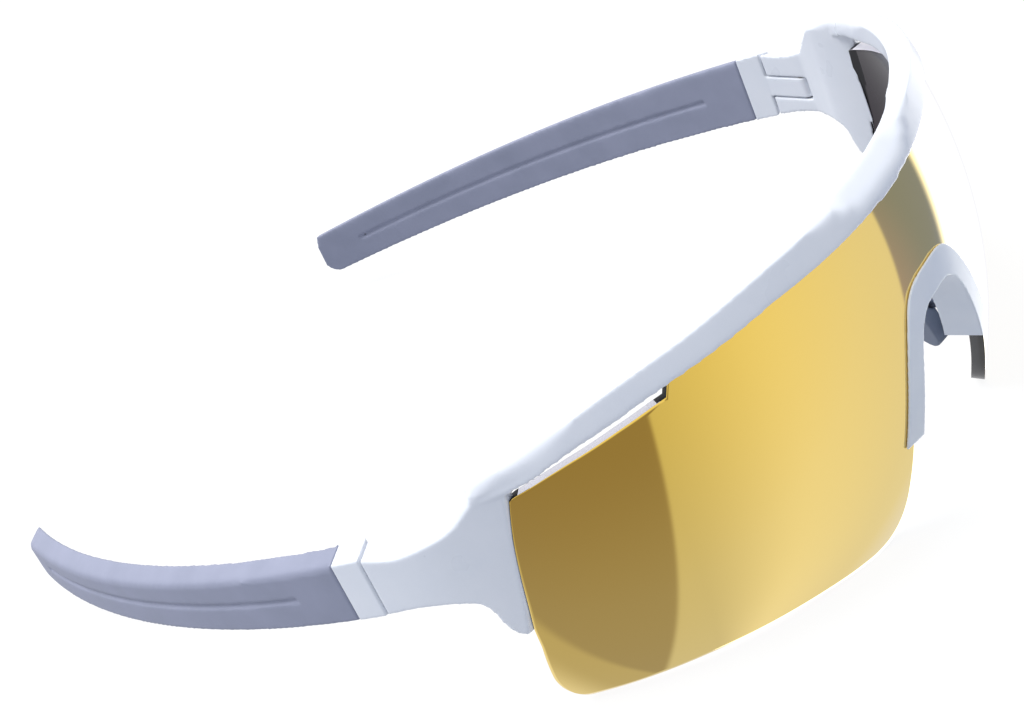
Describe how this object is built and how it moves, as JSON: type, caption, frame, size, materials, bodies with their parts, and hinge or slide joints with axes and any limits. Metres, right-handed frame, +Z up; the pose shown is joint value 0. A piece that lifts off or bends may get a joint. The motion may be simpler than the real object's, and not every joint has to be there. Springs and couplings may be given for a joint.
{
  "type": "cycling glasses",
  "caption": "Half-frame sports glasses with one curved mirrored shield lens, a nose clip with pads, and folding side arms in rubber sleeves.",
  "frame": {"origin": "middle of the glasses in plan, at the height of the lens's lowest edge", "axes": "X across the face towards the wearer's left, -Y forwards through the lens, +Z up"},
  "size_m": [0.1422, 0.1709, 0.0555],
  "materials": {
    "frame_white": "glossy white injection-moulded nylon",
    "lens_gold": "polycarbonate with a gold mirror coating on the front, grey tint behind",
    "clip_white": "glossy white nylon",
    "pad_rubber": "dark slate soft rubber",
    "sleeve_rubber": "lavender-grey matt rubber",
    "wire_steel": "plain steel",
    "screw_steel": "plain steel",
    "insert_brass": "turned brass"
  },
  "bodies": {
    "frame": {"frame_front": "frame_white", "lens": "lens_gold", "nose_bridge": "clip_white", "nose_pad_left": "pad_rubber", "nose_pad_right": "pad_rubber", "nose_pad_core_left": "wire_steel", "nose_pad_core_right": "wire_steel", "hinge_screw_left": "screw_steel", "hinge_screw_right": "screw_steel", "hinge_insert_left": "insert_brass", "hinge_insert_right": "insert_brass"},
    "arm_left": {"temple_left": "frame_white", "temple_sleeve_left": "sleeve_rubber", "temple_wire_left": "wire_steel"},
    "arm_right": {"temple_right": "frame_white", "temple_sleeve_right": "sleeve_rubber", "temple_wire_right": "wire_steel"}
  },
  "joints": [
    {"name": "fold_left", "type": "hinge", "parent": "frame", "child": "arm_left", "pos_m": [0.06587, -0.03225, 0.0313], "axis": [0, 0, 1], "range_deg": [0, 75]},
    {"name": "fold_right", "type": "hinge", "parent": "frame", "child": "arm_right", "pos_m": [-0.06587, -0.03225, 0.0313], "axis": [0, 0, -1], "range_deg": [0, 90]}
  ]
}
